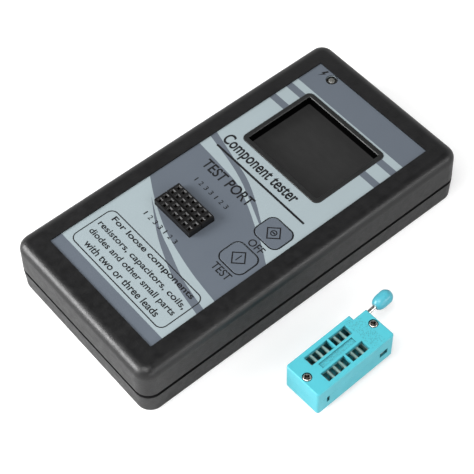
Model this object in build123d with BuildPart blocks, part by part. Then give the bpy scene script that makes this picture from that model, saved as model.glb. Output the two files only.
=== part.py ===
from build123d import *
import os
from math import cos, radians, sin

# A hand-held component tester and its detachable lever test socket (the adapter).
# X runs across the case, +Y towards the display end, +Z up out of the label.
# The origin is the centre of the case's underside. All sizes are in millimetres.

# ---------------------------------------------------------------- case
case_width = 69.8
case_length = 136.4
case_height = 22.1
parting_height = 8.8
corner_radius = 5.3
top_edge_radius = 3.6
bottom_edge_radius = 0.5
wall = 2.2
top_wall = 2.4
floor_thickness = 2.0
upper_draft = 2.0
lower_draft = 1.5
parting_gap = 1.4
parting_chamfer = 0.2
upper_edge = parting_height + parting_gap / 2
lower_edge = parting_height - parting_gap / 2
tongue_inset = 1.2
tongue_top = 10.1
tongue_clearance = 0.1
ceiling = case_height - top_wall

# Case screws, driven from below into the upper case's bosses.
case_boss_x = 29.4
case_boss_y = 62.7
case_boss_radius = 3.6
boss_joint = 10.3
case_screw_radius = 1.4
case_screw_top = 14.8
case_screw_tip_room = 0.5
screw_head_radius = 2.6
screw_head_height = 1.8
screw_head_bottom = 1.0
head_clearance = 0.3
thread_gap = 0.05
shank_clearance = 0.2
cross_length = 2.8
cross_width = 0.7
cross_depth = 1.1

# ---------------------------------------------------------------- label
label_width = 52.9
label_length = 118.0
label_y = 0.38
label_thickness = 0.25
label_top = 21.7
label_gap = 0.1
recess_floor = label_top - label_thickness

# ---------------------------------------------------------------- display
display_y = 31.97
bezel_width = 38.3
bezel_height = 31.65
bezel_corner = 2.2
bezel_top = 21.9
skirt_width = 36.2
skirt_height = 29.3
skirt_corner = 0.9
rim_edge = 0.2
opening_width = 34.8
opening_height = 27.9
opening_corner = 0.5
opening_chamfer = 0.2
glass_gap = 0.05
glass_edge = 0.15
glass_top = 18.1
glass_thickness = 0.9
glass_width = 45.6
glass_height = 33.0
tray_width = 46.7
tray_height = 34.0
tray_x = -2.5
tray_corner = 0.8
flex_thickness = 0.2
flex_height = 1.4
flex_reach = 1.6
flex_tail = 4.0
flex_width = 14.0
slip = 0.1

# ---------------------------------------------------------------- circuit board
board_width = 62.0
board_length = 128.0
board_thickness = 1.6
board_top = 15.5
board_bottom = board_top - board_thickness
board_screw_x = 27.8
board_screw_y = 53.4
board_screw_radius = 1.0
board_screw_length = 5.0
board_head_radius = 2.0
board_head_height = 1.3
board_cross_length = 2.2
board_cross_width = 0.5
board_cross_depth = 0.8
board_hole_gap = 0.15
board_boss_radius = 2.6
board_notch_gap = 0.6
pin_hole_radius = 0.5

# Parts on the board.
controller_x = 2.0
controller_y = 14.0
controller_size = 7.0
controller_height = 1.0
controller_standoff = 0.1
lead_pitch = 0.8
lead_count = 8
lead_length = 1.1
lead_width = 0.3
lead_height = 0.4
can_edge = 0.5
crystal_spot = (-15.0, 4.0)
crystal_length = 11.0
crystal_width = 4.6
crystal_height = 3.4
charger_spot = (8.0, 54.0)
charger_length = 5.0
charger_width = 4.0
charger_height = 1.5
chip_length = 2.0
chip_width = 1.25
chip_edge = 0.15
resistor_spot = (17.0, 14.0)
resistor_height = 0.5
capacitor_spot = (17.0, 36.0)
capacitor_height = 1.0
electrolytic_spot = (-20.0, 44.0)
electrolytic_radius = 3.15
electrolytic_height = 5.4

# ---------------------------------------------------------------- test socket strips
pitch = 2.54
header_x = -7.1
header_y = -18.4
header_columns = 7
strip_gap = 0.29
strip_length = header_columns * pitch + 0.5
strip_width = 2 * pitch
strip_height = 8.5
strip_spacing = strip_width + strip_gap
strips_width = strip_spacing + strip_width
hole_size = 0.95
hole_funnel = 0.36
strip_case_gap = 0.3
strip_label_gap = 0.15
leaf_gap = 0.62
leaf_thickness = 0.12
leaf_width = 0.6
leaf_height = 7.2
leaf_foot = 0.6
tail_thickness = 0.3
tail_length = 1.5 + board_thickness

# ---------------------------------------------------------------- keys and switches
key_x = 18.7
off_key_y = -1.9
test_key_y = -16.8
key_width = 10.9
key_height = 9.3
key_corner = 2.5
key_gap = 0.15
key_top = label_top + 0.15
key_thickness = 0.5
key_edge = 0.14
key_pocket_depth = 0.85
key_travel = 0.3
stem_radius = 1.5
stem_bottom = 19.5
stem_hole_radius = 1.85
switch_size = 6.0
switch_height = 3.5
switch_corner = 0.4
plunger_radius = 1.7
plunger_bottom = 17.0
plunger_edge = 0.2
plunger_clearance = 0.06
plunger_room = 0.1

# ---------------------------------------------------------------- charging light
led_x = -18.2
led_y = 57.1
led_radius = 1.4
led_top = 21.8
led_hole_radius = 1.5
led_label_radius = 1.9
led_flange_radius = 1.9
led_flange_bottom = 18.0
led_flange_height = 1.0
led_lead_size = 0.5
led_lead_below = 1.0

# ---------------------------------------------------------------- power
usb_x = 0.0
usb_width = 7.5
usb_height = 2.6
usb_depth = 5.6
usb_mouth_y = 65.6
usb_z = board_top + usb_height / 2
usb_corner = 0.5
usb_shell = 0.35
usb_back = 0.5
usb_tongue_width = 4.2
usb_tongue_height = 0.6
usb_tongue_rise = 0.3
usb_side_gap = 0.6
usb_top_gap = 0.5
cell_width = 34.0
cell_length = 50.0
cell_thickness = 7.0
cell_y = -20.0
cell_side_radius = 2.5
cell_end_radius = 0.8
pad_thickness = 0.6
pad_side_gap = 2.0
pad_end_gap = 3.0
plug_x = -10.0
plug_y = 22.0
plug_z = 11.4
plug_length = 4.0
plug_width = 6.6
plug_height = 3.6
nose_length = 2.0
nose_width = 5.6
nose_height = 2.8
nose_gap = 0.1
socket_length = 6.5
socket_width = 8.0
socket_height = 4.6
wire_radius = 0.5
wire_spacing_cell = 5.0
wire_spacing_plug = 2.0

# ---------------------------------------------------------------- adapter
# Its own directions: x across its width, y along it towards the lever, z up.
adapter_corner_x = 55.17
adapter_corner_y = -28.67
adapter_heading = 1.7
pin_length = 3.0
adapter_width = 14.8
adapter_length = 33.1
adapter_height = 11.1
adapter_seam = 5.9
adapter_wall = 1.2
adapter_floor = 2.0
adapter_top_wall = 1.6
adapter_edge = 0.45
adapter_corner_radius = 1.0
seam_gap = 0.03
row_spacing = 7.62
row_columns = 7
row_middle_y = 14.9
window_width = 3.75
window_length = 17.8
window_rib = 0.7
rib_column = 3.5
strip_recess_width = 2.1
strip_recess_length = 14.4
strip_recess_y = 15.1
strip_recess_depth = 0.4
notch_width = 2.0
notch_start = 27.55
adapter_screw_near = 2.15
adapter_screw_far = 31.0
adapter_screw_radius = 0.75
adapter_head_radius = 1.5
adapter_head_height = 1.2
adapter_head_dome = 0.6
adapter_head_gap = 0.15
adapter_head_sink = 0.05
adapter_screw_tip = 1.5
adapter_cross_length = 2.1
adapter_cross_width = 0.7
adapter_cross_depth = 0.9
contact_thickness = 0.25
contact_width = 2.6
contact_top = 8.5
pin_width = 0.5
pin_gap = 0.1
cavity_start = 4.8
cavity_end = 31.9

# Comb that opens the contacts.
comb_bottom = 8.5
comb_top = 9.3
comb_start = 5.5
comb_corner_y = 26.05
comb_window_back = 0.45
comb_window_front = 1.4
comb_window_width = 4.2
follower_thickness = 1.2
follower_bottom = 2.4

# Lever: a cam rod across the adapter with an arm in the notch.
pivot_y = 28.7
pivot_z = 4.65
arm_x = 1.2
arm_tilt = 9.0
arm_radius = 0.7
rod_radius = 1.0
rod_end = 14.3
bearing_clearance = 0.05
bearing_thickness = 1.4
bearing_length = 4.4
post_radius = 1.6
post_height = 1.8
rod_window_length = 3.3
rod_window_height = 2.5
side_slot_y = 4.4
side_slot_length = 1.1
side_slot_height = 2.8
cam_radius = 1.4
cam_offset = 0.6
cam_width = 2.0
cam_clearance = 0.2
cam_spacing = 4.6
knob_start = 9.8
knob_length = 7.2
knob_neck_radius = 1.5
knob_radius = 2.5
knob_widest = 0.45 * knob_length
knob_round_start = knob_length - knob_radius
knob_bore_depth = 5.0
knob_bore_gap = 0.02
arm_tip_room = 0.1

os.makedirs("parts", exist_ok=True)


def level(height):
    """Horizontal plane at a height above the case's underside."""
    return Plane.XY.offset(height)


case_boss_spots = GridLocations(2 * case_boss_x, 2 * case_boss_y, 2, 2)
board_screw_spots = GridLocations(2 * board_screw_x, 2 * board_screw_y, 2, 2)
led_lead_spots = Locations((led_x - pitch / 2, led_y), (led_x + pitch / 2, led_y))
key_spots = Locations((key_x, off_key_y), (key_x, test_key_y))
strip_rows = (-strip_spacing / 2, strip_spacing / 2)
header_row_offsets = [row + side * pitch / 2 for row in strip_rows for side in (-1, 1)]
header_spots = [
    (header_x + (column - (header_columns - 1) / 2) * pitch, header_y + row)
    for row in header_row_offsets
    for column in range(header_columns)
]

# ================================================================ upper case
with BuildPart() as upper_case:
    with BuildSketch(level(upper_edge)):
        RectangleRounded(case_width, case_length, corner_radius)
    extrude(amount=case_height - upper_edge, taper=upper_draft)
    fillet(upper_case.edges().group_by(Axis.Z)[-1], top_edge_radius)
    chamfer(upper_case.edges().group_by(Axis.Z)[0], parting_chamfer)
    # Hollow inside, with a rebate for the lower case's tongue.
    with BuildSketch(level(upper_edge)):
        RectangleRounded(case_width - 2 * wall, case_length - 2 * wall, corner_radius - wall)
    extrude(amount=ceiling - upper_edge, mode=Mode.SUBTRACT)
    rebate_inset = tongue_inset - tongue_clearance
    with BuildSketch(level(upper_edge)):
        RectangleRounded(
            case_width - 2 * rebate_inset, case_length - 2 * rebate_inset, corner_radius - rebate_inset
        )
    extrude(amount=boss_joint - upper_edge, mode=Mode.SUBTRACT)
    # Screw bosses for the case and for the board.
    with BuildSketch(level(boss_joint)):
        with case_boss_spots:
            Circle(case_boss_radius)
    extrude(amount=ceiling - boss_joint)
    with BuildSketch(level(boss_joint)):
        with case_boss_spots:
            Circle(case_screw_radius + thread_gap)
    extrude(amount=case_screw_top + case_screw_tip_room - boss_joint, mode=Mode.SUBTRACT)
    with BuildSketch(level(board_top)):
        with board_screw_spots:
            Circle(board_boss_radius)
    extrude(amount=ceiling - board_top)
    with BuildSketch(level(board_top)):
        with board_screw_spots:
            Circle(board_screw_radius + thread_gap)
    extrude(amount=ceiling - board_top, mode=Mode.SUBTRACT)
    # Label recess and the openings through its floor.
    with BuildSketch(level(case_height)):
        with Locations((0, label_y)):
            Rectangle(label_width + 2 * label_gap, label_length + 2 * label_gap)
    extrude(amount=recess_floor - case_height, mode=Mode.SUBTRACT)
    with BuildSketch(level(recess_floor)):
        with Locations((0, display_y)):
            RectangleRounded(skirt_width + 2 * slip, skirt_height + 2 * slip, skirt_corner + slip)
        with Locations((header_x, header_y)):
            Rectangle(strip_length + 2 * strip_case_gap, strips_width + 2 * strip_case_gap)
        with Locations((led_x, led_y)):
            Circle(led_hole_radius)
        with key_spots:
            Circle(stem_hole_radius)
    extrude(amount=-top_wall, mode=Mode.SUBTRACT)
    with BuildSketch(level(recess_floor)):
        with key_spots:
            RectangleRounded(key_width + 2 * key_gap, key_height + 2 * key_gap, key_corner + key_gap)
    extrude(amount=-key_pocket_depth, mode=Mode.SUBTRACT)
    # Charging input in the far wall.
    with Locations((usb_x, case_length / 2 - wall / 2, usb_z)):
        Box(usb_width + 2 * usb_side_gap, wall * 2, usb_height + 2 * usb_top_gap, mode=Mode.SUBTRACT)
upper_case.part.label = "upper_case"
export_step(upper_case.part, "parts/upper_case.step")

# ================================================================ lower case
with BuildPart() as lower_case:
    with BuildSketch(level(lower_edge)):
        RectangleRounded(case_width, case_length, corner_radius)
    extrude(amount=-lower_edge, taper=lower_draft)
    fillet(lower_case.edges().group_by(Axis.Z)[0], bottom_edge_radius)
    with BuildSketch(level(lower_edge)):
        RectangleRounded(
            case_width - 2 * tongue_inset, case_length - 2 * tongue_inset, corner_radius - tongue_inset
        )
    extrude(amount=tongue_top - lower_edge)
    with BuildSketch(level(floor_thickness)):
        RectangleRounded(case_width - 2 * wall, case_length - 2 * wall, corner_radius - wall)
    extrude(amount=case_height, mode=Mode.SUBTRACT)
    with BuildSketch(level(floor_thickness)):
        with case_boss_spots:
            Circle(case_boss_radius)
    extrude(amount=tongue_top - floor_thickness)
    # Clearance holes with deep seats for the screw heads.
    with BuildSketch(level(0)):
        with case_boss_spots:
            Circle(case_screw_radius + shank_clearance)
    extrude(amount=case_height, mode=Mode.SUBTRACT)
    with BuildSketch(level(0)):
        with case_boss_spots:
            Circle(screw_head_radius + head_clearance)
    extrude(amount=screw_head_bottom + screw_head_height, mode=Mode.SUBTRACT)
lower_case.part.label = "lower_case"
export_step(lower_case.part, "parts/lower_case.step")

# ================================================================ screws of the case and board
with BuildPart() as case_screws:
    with BuildSketch(level(screw_head_bottom)):
        with case_boss_spots:
            Circle(screw_head_radius)
    extrude(amount=screw_head_height)
    with BuildSketch(level(screw_head_bottom)):
        with case_boss_spots:
            Circle(case_screw_radius)
    extrude(amount=case_screw_top - screw_head_bottom)
    with BuildSketch(level(screw_head_bottom)):
        with case_boss_spots:
            Rectangle(cross_length, cross_width)
            Rectangle(cross_width, cross_length)
    extrude(amount=cross_depth, mode=Mode.SUBTRACT)
case_screws.part.label = "case_screws"
export_step(case_screws.part, "parts/case_screws.step")

with BuildPart() as board_screws:
    with BuildSketch(level(board_bottom)):
        with board_screw_spots:
            Circle(board_head_radius)
    extrude(amount=-board_head_height)
    with BuildSketch(level(board_bottom)):
        with board_screw_spots:
            Circle(board_screw_radius)
    extrude(amount=board_screw_length)
    with BuildSketch(level(board_bottom - board_head_height)):
        with board_screw_spots:
            Rectangle(board_cross_length, board_cross_width)
            Rectangle(board_cross_width, board_cross_length)
    extrude(amount=board_cross_depth, mode=Mode.SUBTRACT)
board_screws.part.label = "board_screws"
export_step(board_screws.part, "parts/board_screws.step")

# ================================================================ front label
with BuildPart() as front_label:
    with BuildSketch(level(recess_floor)):
        with Locations((0, label_y)):
            Rectangle(label_width, label_length)
        with Locations((0, display_y)):
            RectangleRounded(
                bezel_width + 2 * slip, bezel_height + 2 * slip, bezel_corner + slip, mode=Mode.SUBTRACT
            )
        with Locations((header_x, header_y)):
            Rectangle(
                strip_length + 2 * strip_label_gap,
                strips_width + 2 * strip_label_gap,
                mode=Mode.SUBTRACT,
            )
        with Locations((led_x, led_y)):
            Circle(led_label_radius, mode=Mode.SUBTRACT)
        with key_spots:
            RectangleRounded(
                key_width + 2 * key_gap, key_height + 2 * key_gap, key_corner + key_gap, mode=Mode.SUBTRACT
            )
    extrude(amount=label_thickness)
front_label.part.label = "front_label"
export_step(front_label.part, "parts/front_label.step")

# ================================================================ display
with BuildPart() as display_bezel:
    with BuildSketch(level(recess_floor)):
        with Locations((0, display_y)):
            RectangleRounded(bezel_width, bezel_height, bezel_corner)
    extrude(amount=bezel_top - recess_floor)
    fillet(display_bezel.edges().group_by(Axis.Z)[-1], rim_edge)
    with BuildSketch(level(recess_floor)):
        with Locations((0, display_y)):
            RectangleRounded(skirt_width, skirt_height, skirt_corner)
    extrude(amount=glass_top + glass_gap - recess_floor)
    with BuildSketch(level(bezel_top)):
        with Locations((0, display_y)):
            RectangleRounded(opening_width, opening_height, opening_corner)
    extrude(amount=-case_height, mode=Mode.SUBTRACT)
    opening_edges = display_bezel.faces().sort_by(Axis.Z)[-1].inner_wires().edges()
    chamfer(opening_edges, opening_chamfer)
display_bezel.part.label = "display_bezel"
export_step(display_bezel.part, "parts/display_bezel.step")

with BuildPart() as display_glass:
    with BuildSketch(level(glass_top - glass_thickness)):
        with Locations((tray_x, display_y)):
            Rectangle(glass_width, glass_height)
    extrude(amount=glass_thickness)
    chamfer(display_glass.edges().group_by(Axis.Z)[-1], glass_edge)
display_glass.part.label = "display_glass"
export_step(display_glass.part, "parts/display_glass.step")

with BuildPart() as display_tray:
    with BuildSketch(level(board_top)):
        with Locations((tray_x, display_y)):
            Rectangle(tray_width, tray_height)
    extrude(amount=glass_top - glass_thickness - board_top)
    fillet(display_tray.edges().filter_by(Axis.Z), tray_corner)
display_tray.part.label = "display_tray"
export_step(display_tray.part, "parts/display_tray.step")

with BuildPart() as display_flex:
    flex_edge = tray_x - tray_width / 2
    flex_top = board_top + flex_height + flex_thickness
    with BuildSketch(Plane.XZ.offset(-display_y)):
        with BuildLine():
            Polyline(
                (flex_edge, board_top + flex_height),
                (flex_edge, flex_top),
                (flex_edge - flex_reach, flex_top),
                (flex_edge - flex_reach, board_top + flex_thickness),
                (flex_edge - flex_tail, board_top + flex_thickness),
                (flex_edge - flex_tail, board_top),
                (flex_edge - flex_reach + flex_thickness, board_top),
                (flex_edge - flex_reach + flex_thickness, board_top + flex_height),
                close=True,
            )
        make_face()
    extrude(amount=flex_width / 2, both=True)
display_flex.part.label = "display_flex"
export_step(display_flex.part, "parts/display_flex.step")

# ================================================================ circuit board
with BuildPart() as main_board:
    with BuildSketch(level(board_bottom)):
        Rectangle(board_width, board_length)
        with case_boss_spots:
            Circle(case_boss_radius + board_notch_gap, mode=Mode.SUBTRACT)
        with board_screw_spots:
            Circle(board_screw_radius + board_hole_gap, mode=Mode.SUBTRACT)
        with Locations(*header_spots):
            Circle(pin_hole_radius, mode=Mode.SUBTRACT)
        with led_lead_spots:
            Circle(pin_hole_radius, mode=Mode.SUBTRACT)
    extrude(amount=board_thickness)
main_board.part.label = "main_board"
export_step(main_board.part, "parts/main_board.step")

# Controller and its small parts are on the board's underside.
with BuildPart() as microcontroller:
    with BuildSketch(level(board_bottom - controller_standoff)):
        with Locations((controller_x, controller_y)):
            Rectangle(controller_size, controller_size)
    extrude(amount=-controller_height)
    chamfer(microcontroller.edges().group_by(Axis.Z)[0], chip_edge)
microcontroller.part.label = "microcontroller"
export_step(microcontroller.part, "parts/microcontroller.step")

with BuildPart() as microcontroller_leads:
    lead_spacing = controller_size + lead_length
    with BuildSketch(level(board_bottom)):
        with Locations((controller_x, controller_y)):
            with GridLocations(lead_pitch, lead_spacing, lead_count, 2):
                Rectangle(lead_width, lead_length)
            with GridLocations(lead_spacing, lead_pitch, 2, lead_count):
                Rectangle(lead_length, lead_width)
    extrude(amount=-lead_height)
microcontroller_leads.part.label = "microcontroller_leads"
export_step(microcontroller_leads.part, "parts/microcontroller_leads.step")

with BuildPart() as crystal:
    with BuildSketch(level(board_top)):
        with Locations(crystal_spot):
            SlotOverall(crystal_length, crystal_width)
    extrude(amount=crystal_height)
    fillet(crystal.edges().group_by(Axis.Z)[-1], can_edge)
crystal.part.label = "crystal"
export_step(crystal.part, "parts/crystal.step")

with BuildPart() as charger_chip:
    with BuildSketch(level(board_bottom)):
        with Locations(charger_spot):
            Rectangle(charger_length, charger_width)
    extrude(amount=-charger_height)
    chamfer(charger_chip.edges().group_by(Axis.Z)[0], chip_edge)
charger_chip.part.label = "charger_chip"
export_step(charger_chip.part, "parts/charger_chip.step")

with BuildPart() as chip_resistors:
    with BuildSketch(level(board_bottom)):
        with Locations(resistor_spot):
            with GridLocations(2 * chip_length, 2.4 * chip_width, 3, 4):
                Rectangle(chip_length, chip_width)
    extrude(amount=-resistor_height)
chip_resistors.part.label = "chip_resistors"
export_step(chip_resistors.part, "parts/chip_resistors.step")

with BuildPart() as chip_capacitors:
    with BuildSketch(level(board_bottom)):
        with Locations(capacitor_spot):
            with GridLocations(2 * chip_length, 4 * chip_width, 2, 4):
                Rectangle(chip_length, chip_width)
    extrude(amount=-capacitor_height)
chip_capacitors.part.label = "chip_capacitors"
export_step(chip_capacitors.part, "parts/chip_capacitors.step")

with BuildPart() as electrolytic:
    with BuildSketch(level(board_bottom)):
        with Locations(electrolytic_spot):
            Circle(electrolytic_radius)
    extrude(amount=-electrolytic_height)
    fillet(electrolytic.edges().group_by(Axis.Z)[0], can_edge)
electrolytic.part.label = "electrolytic"
export_step(electrolytic.part, "parts/electrolytic.step")

# ================================================================ test socket strips


def socket_strip(row):
    """One 2 x 7 socket strip standing on the board, with a funnel at every hole."""
    with BuildPart() as strip:
        with BuildSketch(level(board_top)):
            with Locations((header_x, header_y + row)):
                Rectangle(strip_length, strip_width)
        extrude(amount=strip_height)
        with BuildSketch(level(board_top)):
            with Locations((header_x, header_y + row)):
                with GridLocations(pitch, pitch, header_columns, 2):
                    Rectangle(hole_size, hole_size)
        extrude(amount=strip_height, mode=Mode.SUBTRACT)
        chamfer(strip.faces().sort_by(Axis.Z)[-1].inner_wires().edges(), hole_funnel)
    return strip.part


header_front = socket_strip(strip_rows[0])
header_front.label = "header_front"
export_step(header_front, "parts/header_front.step")
header_rear = socket_strip(strip_rows[1])
header_rear.label = "header_rear"
export_step(header_rear, "parts/header_rear.step")

with BuildPart() as header_contacts:
    # Two sprung leaves joined at the foot of each hole, and a tail through the board.
    for leaf_side in (-1, 1):
        with BuildSketch(level(board_top)):
            with Locations(*header_spots):
                with Locations((0, leaf_side * (leaf_gap + leaf_thickness) / 2)):
                    Rectangle(leaf_width, leaf_thickness)
        extrude(amount=leaf_height)
    with BuildSketch(level(board_top)):
        with Locations(*header_spots):
            Rectangle(leaf_width, leaf_gap + 2 * leaf_thickness)
    extrude(amount=leaf_foot)
    with BuildSketch(level(board_top)):
        with Locations(*header_spots):
            Rectangle(leaf_width, tail_thickness)
    extrude(amount=-tail_length)
header_contacts.part.label = "header_contacts"
export_step(header_contacts.part, "parts/header_contacts.step")

# ================================================================ keys and switches


def key_pad(key_y):
    """Raised key pad with the stem that reaches through the case to its switch."""
    with BuildPart() as key:
        with BuildSketch(level(key_top - key_thickness)):
            with Locations((key_x, key_y)):
                RectangleRounded(key_width, key_height, key_corner)
        extrude(amount=key_thickness)
        fillet(key.edges().group_by(Axis.Z)[-1], key_edge)
        with BuildSketch(level(stem_bottom)):
            with Locations((key_x, key_y)):
                Circle(stem_radius)
        extrude(amount=key_top - key_thickness - stem_bottom)
    return key.part


def switch_plunger(key_y):
    """Push switch's plunger, below the key's stem."""
    with BuildPart() as plunger:
        with BuildSketch(level(plunger_bottom)):
            with Locations((key_x, key_y)):
                Circle(plunger_radius)
        extrude(amount=stem_bottom - plunger_bottom)
        chamfer(plunger.edges().group_by(Axis.Z)[0], plunger_edge)
    return plunger.part


off_key = key_pad(off_key_y)
off_key.label = "off_key"
export_step(off_key, "parts/off_key.step")
test_key = key_pad(test_key_y)
test_key.label = "test_key"
export_step(test_key, "parts/test_key.step")
off_plunger = switch_plunger(off_key_y)
off_plunger.label = "off_plunger"
export_step(off_plunger, "parts/off_plunger.step")
test_plunger = switch_plunger(test_key_y)
test_plunger.label = "test_plunger"
export_step(test_plunger, "parts/test_plunger.step")

with BuildPart() as switch_bodies:
    with BuildSketch(level(board_top)):
        with key_spots:
            RectangleRounded(switch_size, switch_size, switch_corner)
    extrude(amount=switch_height)
    with BuildSketch(level(plunger_bottom - key_travel - plunger_room)):
        with key_spots:
            Circle(plunger_radius + plunger_clearance)
    extrude(amount=switch_height, mode=Mode.SUBTRACT)
switch_bodies.part.label = "switch_bodies"
export_step(switch_bodies.part, "parts/switch_bodies.step")

# ================================================================ charging light
with BuildPart() as charge_led:
    with BuildSketch(level(led_flange_bottom)):
        with Locations((led_x, led_y)):
            Circle(led_flange_radius)
    extrude(amount=led_flange_height)
    with BuildSketch(level(led_flange_bottom)):
        with Locations((led_x, led_y)):
            Circle(led_radius)
    extrude(amount=led_top - led_flange_bottom)
    fillet(charge_led.edges().group_by(Axis.Z)[-1], led_radius * 0.75)
charge_led.part.label = "charge_led"
export_step(charge_led.part, "parts/charge_led.step")

with BuildPart() as led_leads:
    with BuildSketch(level(board_bottom - led_lead_below)):
        with led_lead_spots:
            Rectangle(led_lead_size, led_lead_size)
    extrude(amount=led_flange_bottom - board_bottom + led_lead_below)
led_leads.part.label = "led_leads"
export_step(led_leads.part, "parts/led_leads.step")

# ================================================================ power
with BuildPart() as usb_port:
    usb_middle_y = usb_mouth_y - usb_depth / 2
    with Locations((usb_x, usb_middle_y, usb_z)):
        Box(usb_width, usb_depth, usb_height)
    fillet(usb_port.edges().filter_by(Axis.Y), usb_corner)
    with Locations((usb_x, usb_middle_y + usb_back, usb_z)):
        Box(usb_width - 2 * usb_shell, usb_depth, usb_height - 2 * usb_shell, mode=Mode.SUBTRACT)
    with Locations((usb_x, usb_middle_y - usb_back, usb_z + usb_tongue_rise)):
        Box(usb_tongue_width, usb_depth - 2 * usb_back, usb_tongue_height)
usb_port.part.label = "usb_port"
export_step(usb_port.part, "parts/usb_port.step")

with BuildPart() as battery_pad:
    with BuildSketch(level(floor_thickness)):
        with Locations((0, cell_y)):
            Rectangle(cell_width - 2 * pad_side_gap, cell_length - 2 * pad_end_gap)
    extrude(amount=pad_thickness)
battery_pad.part.label = "battery_pad"
export_step(battery_pad.part, "parts/battery_pad.step")

cell_bottom = floor_thickness + pad_thickness
with BuildPart() as battery_cell:
    with BuildSketch(level(cell_bottom)):
        with Locations((0, cell_y)):
            Rectangle(cell_width, cell_length)
    extrude(amount=cell_thickness)
    fillet(battery_cell.edges().filter_by(Axis.Y), cell_side_radius)
    fillet(battery_cell.edges().group_by(Axis.Y)[-1], cell_end_radius)
battery_cell.part.label = "battery_cell"
export_step(battery_cell.part, "parts/battery_cell.step")

with BuildPart() as battery_plug:
    with Locations((plug_x, plug_y + plug_length / 2, plug_z)):
        Box(plug_width, plug_length, plug_height)
    with Locations((plug_x, plug_y + plug_length + nose_length / 2, plug_z)):
        Box(nose_width, nose_length, nose_height)
battery_plug.part.label = "battery_plug"
export_step(battery_plug.part, "parts/battery_plug.step")

with BuildPart() as battery_socket:
    with Locations((plug_x, plug_y + plug_length + socket_length / 2, board_bottom - socket_height / 2)):
        Box(socket_width, socket_length, socket_height)
    with Locations((plug_x, plug_y + plug_length + nose_length / 2 + nose_gap, plug_z)):
        Box(
            nose_width + 2 * nose_gap,
            nose_length + 2 * nose_gap,
            nose_height + 2 * nose_gap,
            mode=Mode.SUBTRACT,
        )
battery_socket.part.label = "battery_socket"
export_step(battery_socket.part, "parts/battery_socket.step")

with BuildPart() as battery_leads:
    for wire_side in (-1, 1):
        wire_x = wire_side * wire_spacing_cell / 2
        lead_start = (wire_x, cell_y + cell_length / 2, cell_bottom + cell_thickness / 2)
        lead_end = (plug_x + wire_side * wire_spacing_plug / 2, plug_y, plug_z)
        with BuildLine() as lead_path:
            Spline(lead_start, lead_end, tangents=((0, 1, 0), (0, 1, 0)))
        with BuildSketch(Plane(origin=lead_start, z_dir=(0, 1, 0))):
            Circle(wire_radius)
        sweep(path=lead_path.wires()[0])
battery_leads.part.label = "battery_leads"
export_step(battery_leads.part, "parts/battery_leads.step")

# ================================================================ adapter
heading = radians(adapter_heading)
across = Vector(cos(heading), sin(heading), 0)
along = Vector(-sin(heading), cos(heading), 0)
adapter_origin = Vector(adapter_corner_x, adapter_corner_y, pin_length)


def adapter_point(x, y, z):
    """Point given in the adapter's own directions."""
    return adapter_origin + across * x + along * y + Vector(0, 0, z)


def adapter_level(z):
    """Horizontal plane of the adapter, with its x and y as the plane's own."""
    return Plane(origin=adapter_point(0, 0, z), x_dir=across, z_dir=(0, 0, 1))


def adapter_side(x):
    """Upright plane facing across the adapter, with its y and z as the plane's own."""
    return Plane(origin=adapter_point(x, 0, 0), x_dir=along, z_dir=across)


adapter_middle = adapter_width / 2
contact_spots = [
    (adapter_middle + side * row_spacing / 2, row_middle_y + (column - (row_columns - 1) / 2) * pitch)
    for side in (-1, 1)
    for column in range(row_columns)
]
adapter_screw_spots = Locations(
    (adapter_middle, adapter_screw_near), (adapter_middle, adapter_screw_far)
)


def adapter_outline():
    """Outline of both mouldings: a rectangle with the lever's notch at one corner."""
    with Locations((adapter_middle, adapter_length / 2)):
        RectangleRounded(adapter_width, adapter_length, adapter_corner_radius)
    with Locations((0, adapter_length)):
        Rectangle(2 * notch_width, 2 * (adapter_length - notch_start), mode=Mode.SUBTRACT)


def adapter_hollow():
    """Outline of the room inside both mouldings."""
    hollow_length = cavity_end - cavity_start
    with Locations((adapter_middle, cavity_start + hollow_length / 2)):
        Rectangle(adapter_width - 2 * adapter_wall, hollow_length)
    blocked = adapter_length - notch_start + adapter_wall
    with Locations(((notch_width + adapter_wall) / 2, adapter_length - blocked / 2)):
        Rectangle(notch_width + adapter_wall, blocked, mode=Mode.SUBTRACT)


with BuildPart() as zif_base:
    with BuildSketch(adapter_level(0)):
        adapter_outline()
    extrude(amount=adapter_seam - seam_gap)
    with BuildSketch(adapter_level(adapter_floor)):
        adapter_hollow()
    extrude(amount=adapter_seam, mode=Mode.SUBTRACT)
    with BuildSketch(adapter_level(0)):
        with Locations(*contact_spots):
            Rectangle(pin_width + 2 * pin_gap, contact_thickness + 2 * pin_gap)
    extrude(amount=adapter_floor, mode=Mode.SUBTRACT)
    # Post under the far screw, and the block that carries the rod's end.
    with BuildSketch(adapter_level(adapter_floor)):
        with Locations((adapter_middle, adapter_screw_far)):
            Circle(post_radius)
    extrude(amount=post_height)
    with BuildSketch(adapter_level(adapter_floor)):
        with Locations((adapter_width - adapter_wall - bearing_thickness / 2, pivot_y)):
            Rectangle(bearing_thickness, bearing_length)
    extrude(amount=adapter_seam - seam_gap - adapter_floor)
    # Open-topped bearings for the rod.
    bearing_radius = rod_radius + bearing_clearance
    with BuildSketch(adapter_side(0)):
        with Locations((pivot_y, pivot_z)):
            Circle(bearing_radius)
        with Locations((pivot_y, pivot_z + bearing_radius)):
            Rectangle(2 * bearing_radius, 2 * bearing_radius)
    extrude(amount=adapter_width - adapter_wall, mode=Mode.SUBTRACT)
    # Openings in the right-hand wall: a narrow slot and the rod's window.
    with BuildSketch(adapter_side(adapter_width)):
        with Locations((side_slot_y, adapter_seam)):
            Rectangle(side_slot_length, 2 * side_slot_height)
        with Locations((pivot_y, adapter_seam)):
            Rectangle(rod_window_length, 2 * rod_window_height)
    extrude(amount=-adapter_wall, mode=Mode.SUBTRACT)
    with BuildSketch(adapter_level(adapter_screw_tip - thread_gap)):
        with adapter_screw_spots:
            Circle(adapter_screw_radius + thread_gap)
    extrude(amount=adapter_seam, mode=Mode.SUBTRACT)
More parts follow.
